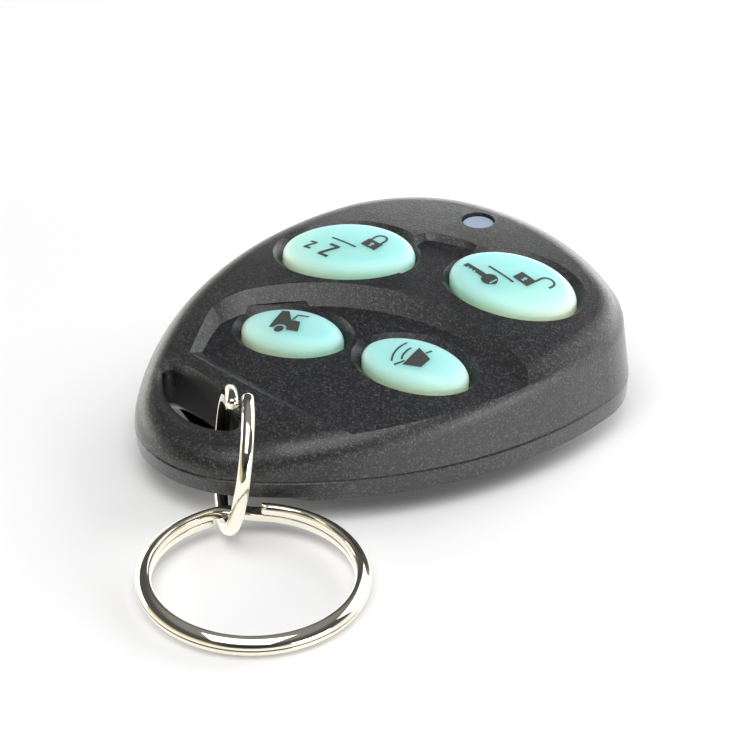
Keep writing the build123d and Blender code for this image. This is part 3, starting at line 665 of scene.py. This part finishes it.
def makeWireTree():
    tree, given, result = newGeometryTree(
        "woundWire",
        [
            ("Radius", "Float", 0.0072),
            ("Wire", "Float", 0.0015),
            ("Rise", "Float", 0.0017),
            ("Turns", "Float", 1.0),
            ("Tip", "Float", 0.0004),
            ("Tip Narrowing", "Float", 0.75),
            ("Points", "Int", 400),
            ("Wire Sides", "Int", 28),
            ("Material", "Material", None),
        ],
    )
    path = addNode(tree, "GeometryNodeCurveSpiral")
    for label, source in (("Resolution", "Points"), ("Rotations", "Turns"), ("Start Radius", "Radius"),
                          ("End Radius", "Radius"), ("Height", "Rise")):
        tree.links.new(given[source], path.inputs[label])
    outline = addNode(tree, "GeometryNodeCurvePrimitiveCircle")
    tree.links.new(given["Wire Sides"], outline.inputs["Resolution"])
    tree.links.new(mathNode(tree, "MULTIPLY", given["Wire"], 0.5), outline.inputs["Radius"])
    along = addNode(tree, "GeometryNodeSplineParameter").outputs["Factor"]
    whole = addNode(tree, "GeometryNodeSplineLength").outputs["Length"]
    nearEnd = mathNode(tree, "MINIMUM", along, mathNode(tree, "SUBTRACT", 1.0, along))
    inTips = mathNode(tree, "DIVIDE", mathNode(tree, "MULTIPLY", nearEnd, whole), given["Tip"])
    gone = mathNode(tree, "SUBTRACT", 1.0, mathNode(tree, "MINIMUM", inTips, 1.0))
    lost = mathNode(tree, "MULTIPLY", mathNode(tree, "MULTIPLY", gone, gone), given["Tip Narrowing"])
    tipRadius = mathNode(tree, "SQRT", mathNode(tree, "SUBTRACT", 1.0, lost))
    sweep = addNode(tree, "GeometryNodeCurveToMesh")
    sweep.inputs["Fill Caps"].default_value = True
    tree.links.new(path.outputs[0], sweep.inputs["Curve"])
    tree.links.new(outline.outputs[0], sweep.inputs["Profile Curve"])
    tree.links.new(tipRadius, sweep.inputs["Scale"])
    smooth = addNode(tree, "GeometryNodeSetShadeSmooth")
    tree.links.new(sweep.outputs[0], smooth.inputs["Geometry"])
    finishTree(tree, smooth.outputs[0], given["Material"], result)
    return tree


def makeJumpRing():
    heading, lean = math.radians(jumpRing["heading"]), math.radians(jumpRing["lean"])
    along = Vector((math.cos(heading), math.sin(heading), 0))
    across = Vector((math.sin(heading), -math.cos(heading), 0))
    upward = across * math.sin(lean) + Vector((0, 0, math.cos(lean)))
    axes = Matrix((along, upward, along.cross(upward))).transposed().to_4x4()
    height = jumpRing["floorGap"] + jumpRing["wire"] / 2 + jumpRing["radius"] * math.cos(lean)
    place = Matrix.Translation(Vector((*jumpRing["place"], height)) * mm) @ axes
    place = place @ Matrix.Rotation(math.radians(jumpRing["endAngle"]), 4, "Z")
    place = place @ Matrix.Translation((0, 0, -jumpRing["rise"] * mm / 2))
    ring = bakeTree(
        "jump_ring_wire", makeWireTree(), bpy.data.meshes.new("jumpStart"), place,
        Radius=jumpRing["radius"] * mm, Wire=jumpRing["wire"] * mm, Rise=jumpRing["rise"] * mm,
        Turns=jumpRing["turns"], Tip=jumpRing["tipLength"] * mm, Points=jumpRing["points"],
        Material=finishes["ring_steel"],
        **{"Tip Narrowing": jumpRing["tipNarrowing"], "Wire Sides": jumpRing["wireSides"]},
    )
    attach(ring, "jump_ring")
    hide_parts("jump_ring")


# Split ring: two turns of half-round steel, flat where they meet, joined by a short rising step

splitRing = {
    "outerRadius": 12.0,
    "width": 1.6,
    "crest": -0.35,  # place of the crest across the width, from -1 inside to 1 outside
    "coilHeight": 1.05,
    "gap": 0.06,
    "seamShoulder": 0.14,
    "stepAngle": 28.0,
    "place": (3.0, -36.6),
    "tilt": 4.0,
    "startAngle": 14.0,
    "innerFullness": 2.2,
    "outerFullness": 1.65,
    "seamFullness": 5.0,
    "endShare": 0.9,
    "sharpEdge": 35.0,
    "stepsPerTurn": 180,
    "sectionPoints": 40,
}


def splitSection(level):
    # Half-round section; level goes from -1 in the lower turn to 1 in the upper one
    half, crest = splitRing["width"] / 2, splitRing["crest"]
    full = splitRing["coilHeight"] - splitRing["seamShoulder"]
    share = (level + 1) / 2
    above = splitRing["seamShoulder"] * (1 - share) + full * share
    below = splitRing["seamShoulder"] * share + full * (1 - share)
    middle = level * (splitRing["gap"] / 2 + splitRing["seamShoulder"])
    points = []
    for i in range(splitRing["sectionPoints"]):
        turn = 2 * math.pi * (i + 0.5) / splitRing["sectionPoints"]
        x, z = math.cos(turn), math.sin(turn)
        rounded = splitRing["outerFullness"] if x > 0 else splitRing["innerFullness"]
        roundShare = share if z > 0 else 1 - share
        power = splitRing["seamFullness"] * (1 - roundShare) + rounded * roundShare
        reach = (abs(x) ** power + abs(z) ** power) ** (-1 / power)
        side = half * (1 - crest) if x > 0 else half * (1 + crest)
        rise = above if z > 0 else below
        points.append((crest * half - half + x * reach * side, middle + z * reach * rise))
    return points


def makeSplitRing():
    step = splitRing["stepAngle"]
    count = splitRing["stepsPerTurn"] * 2
    shape = bmesh.new()
    rows = []
    for i in range(count + 1):
        angle = (720 - step) * i / count
        rising = min(max((angle - (360 - step)) / step, 0), 1)
        level = 2 * (3 * rising ** 2 - 2 * rising ** 3) - 1
        c, n = math.cos(math.radians(angle)), math.sin(math.radians(angle))
        shrink = splitRing["endShare"] if i in (0, count) else 1.0
        row = []
        for x, z in splitSection(level):
            reach = splitRing["outerRadius"] + x * shrink
            row.append(shape.verts.new((reach * c * mm, reach * n * mm, z * mm)))
        rows.append(row)
    size = splitRing["sectionPoints"]
    for first, second in zip(rows, rows[1:]):
        for k in range(size):
            shape.faces.new((first[k], second[k], second[(k + 1) % size], first[(k + 1) % size]))
    shape.faces.new(rows[0])
    shape.faces.new(rows[-1])
    bmesh.ops.recalc_face_normals(shape, faces=shape.faces)
    mesh = bpy.data.meshes.new("split_ring_coils")
    shape.to_mesh(mesh)
    shape.free()
    mesh.shade_smooth()
    mesh.set_sharp_from_angle(angle=math.radians(splitRing["sharpEdge"]))
    tilt = math.radians(splitRing["tilt"])
    toJump = Vector(jumpRing["place"]) - Vector(splitRing["place"])
    coilTop = splitRing["gap"] / 2 + splitRing["coilHeight"]
    height = jumpRing["floorGap"] + splitRing["outerRadius"] * math.sin(tilt) + coilTop * math.cos(tilt)
    place = Matrix.Translation(Vector((*splitRing["place"], height)) * mm)
    place = place @ Matrix.Rotation(math.atan2(toJump.y, toJump.x), 4, "Z")
    place = place @ Matrix.Rotation(-tilt, 4, "Y")
    mesh.transform(place @ Matrix.Rotation(math.radians(splitRing["startAngle"]), 4, "Z"))
    mesh.materials.append(finishes["ring_steel"])
    ring = linkObject("split_ring_coils", mesh)
    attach(ring, "split_ring")
    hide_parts("split_ring")


makeJumpRing()
makeSplitRing()
print("rings wound")


# Camera at the photograph's viewing angle

camera = {
    "place": (134.5, -272.6, 184.7),
    "direction": (-0.3845, 0.7711, -0.5075),
    "lens": 153.6,
    "sensor": 36.0,
}
cameraData = bpy.data.cameras.new("camera")
cameraData.lens = camera["lens"]
cameraData.sensor_width = camera["sensor"]
cameraObject = linkObject("camera", cameraData)
cameraObject.location = Vector(camera["place"]) * mm
cameraObject.rotation_mode = "QUATERNION"
cameraObject.rotation_quaternion = Vector(camera["direction"]).to_track_quat("-Z", "Y")
scene.camera = cameraObject
scene.view_settings.view_transform = "Standard"
toRight = Vector(camera["direction"]).cross(Vector((0, 0, 1))).normalized()
toBack = Vector((0, 0, 1)).cross(toRight).normalized()

# Floor, surroundings and lights. floorDrop and the oval of painted shadow under the case are in
# millimetres, the rest in metres, and a light stands right, back and up from the origin as the camera sees
# it

studio = {
    "floorSize": 3.0,
    "floorDrop": 0.02,
    "floorColour": (0.73, 0.73, 0.73),
    "floorRoughness": 0.7,
    "floorGloss": 0.2,
    "floorGlow": 0.06,
    "floorInMirrors": 0.9,
    "paintedShadowOval": (23.0, 25.0),  # half sizes of the oval under the case where the floor's glow fades out, a painted shadow
    "paintedShadowEdge": 0.70,
    "overhead": dict(right=-0.05, back=-0.26, up=0.56, width=0.50, height=0.50, power=3.3, aim=(0, 0, 0)),
    "side": dict(right=0.62, back=0.42, up=0.33, width=0.75, height=0.75, power=5.4, aim=(0, 0, 0.01)),
    "behind": dict(right=0.22, back=0.72, up=0.10, width=0.60, height=0.16, power=1.6, aim=(0, 0, 0.01)),
    "left": dict(right=-0.62, back=0.50, up=0.10, width=0.70, height=0.18, power=2.6, aim=(0, 0, 0.01)),
    "front": dict(right=0.58, back=-0.46, up=0.12, width=0.50, height=0.22, power=2.6, aim=(0, 0, 0.01)),
    "horizon": (1.6, 1.6, 1.6),
    "warmHorizon": (1.25, 1.14, 0.74),
    "warmSide": (0.0, 0.7),
    "gap": (0.14, 0.14, 0.15),
    "ceiling": (0.42, 0.42, 0.43),
    "roomBehindCamera": 0.15,
    "gapHeights": (0.16, 0.32),
    "ceilingHeights": (0.66, 0.82),
    "darkBehindCamera": (0.72, 0.92),
}


def makeFloor():
    mesh = bpy.data.meshes.new("floor")
    half, low = studio["floorSize"] / 2, -studio["floorDrop"] * mm
    corners = [(-half, -half, low), (half, -half, low), (half, half, low), (-half, half, low)]
    mesh.from_pydata(corners, [], [(0, 1, 2, 3)])
    floor = linkObject("floor", mesh)
    material = bpy.data.materials.new("floorPaper")
    material.use_nodes = True
    tree = material.node_tree
    surface = tree.nodes["Principled BSDF"].inputs
    surface["Base Color"].default_value = (*studio["floorColour"], 1)
    surface["Roughness"].default_value = studio["floorRoughness"]
    surface["Specular IOR Level"].default_value = studio["floorGloss"]
    surface["Emission Color"].default_value = (1, 1, 1, 1)
    path = addNode(tree, "ShaderNodeLightPath").outputs
    mirrored = mathNode(tree, "MAXIMUM", path["Is Transmission Ray"], path["Is Glossy Ray"])
    glow = mathNode(tree, "MULTIPLY", mirrored, studio["floorInMirrors"])
    glow = mathNode(tree, "MULTIPLY_ADD", path["Is Camera Ray"], studio["floorGlow"], glow)
    # Painted shadow: the floor's glow fades out in an oval under the case, standing in for the shade
    # there, where no light reaches
    spot = addNode(tree, "ShaderNodeVectorMath", operation="DIVIDE")
    tree.links.new(addNode(tree, "ShaderNodeTexCoord").outputs["Object"], spot.inputs[0])
    spot.inputs[1].default_value = (*(side * mm for side in studio["paintedShadowOval"]), 1)
    away = addNode(tree, "ShaderNodeVectorMath", operation="LENGTH")
    tree.links.new(spot.outputs[0], away.inputs[0])
    outsidePaintedShadow = rampNode(tree, away.outputs["Value"], ((studio["paintedShadowEdge"], 0.0), (1.0, 1.0)))
    tree.links.new(mathNode(tree, "MULTIPLY", glow, outsidePaintedShadow), surface["Emission Strength"])
    mesh.materials.append(material)


def makeWorld():
    # White to the camera; reflections see a bright horizon, warm on the left, under a grey ceiling
    world = bpy.data.worlds.new("studio")
    world.use_nodes = True
    scene.world = world
    tree = world.node_tree
    background = tree.nodes["Background"]
    direction = addNode(tree, "ShaderNodeTexCoord").outputs["Generated"]
    split = addNode(tree, "ShaderNodeSeparateXYZ")
    tree.links.new(direction, split.inputs[0])

    def facing(axis):
        dot = addNode(tree, "ShaderNodeVectorMath", operation="DOT_PRODUCT")
        tree.links.new(direction, dot.inputs[0])
        dot.inputs[1].default_value = axis
        return dot.outputs["Value"]
    low, top = studio["warmSide"]
    warm = rampNode(tree, facing(-toRight), ((low, 0.0), (top, 1.0)))
    band = mixColour(tree, warm, studio["horizon"], studio["warmHorizon"])
    low, top = studio["gapHeights"]
    lifted = rampNode(tree, split.outputs["Z"], ((low, 0.0), (top, 1.0)))
    low, top = studio["ceilingHeights"]
    high = rampNode(tree, split.outputs["Z"], ((low, 0.0), (top, 1.0)))
    bright = mixColour(tree, lifted, band, studio["gap"])
    bright = mixColour(tree, high, bright, studio["ceiling"])
    near, far = studio["darkBehindCamera"]
    dim = rampNode(tree, facing(-toBack), ((near, 1.0), (far, studio["roomBehindCamera"])))
    bright = mixColour(tree, 1.0, bright, dim, blend="MULTIPLY")
    path = addNode(tree, "ShaderNodeLightPath").outputs
    shown = mixColour(tree, path["Is Camera Ray"], bright, (1, 1, 1))
    tree.links.new(shown, background.inputs["Color"])


def addSoftbox(name, right, back, up, width, height, power, aim):
    data = bpy.data.lights.new(name, "AREA")
    data.shape = "RECTANGLE"
    data.size = width
    data.size_y = height
    data.energy = power
    box = linkObject(name, data)
    box.location = toRight * right + toBack * back + Vector((0, 0, up))
    box.rotation_mode = "QUATERNION"
    box.rotation_quaternion = (Vector(aim) - box.location).to_track_quat("-Z", "Y")
    box.visible_camera = False


makeFloor()
makeWorld()
addSoftbox("overheadSoftbox", **studio["overhead"])
addSoftbox("sideSoftbox", **studio["side"])
addSoftbox("lowStripBehind", **studio["behind"])
addSoftbox("lowStripLeft", **studio["left"])
addSoftbox("lowStripFront", **studio["front"])
print("studio and camera ready")
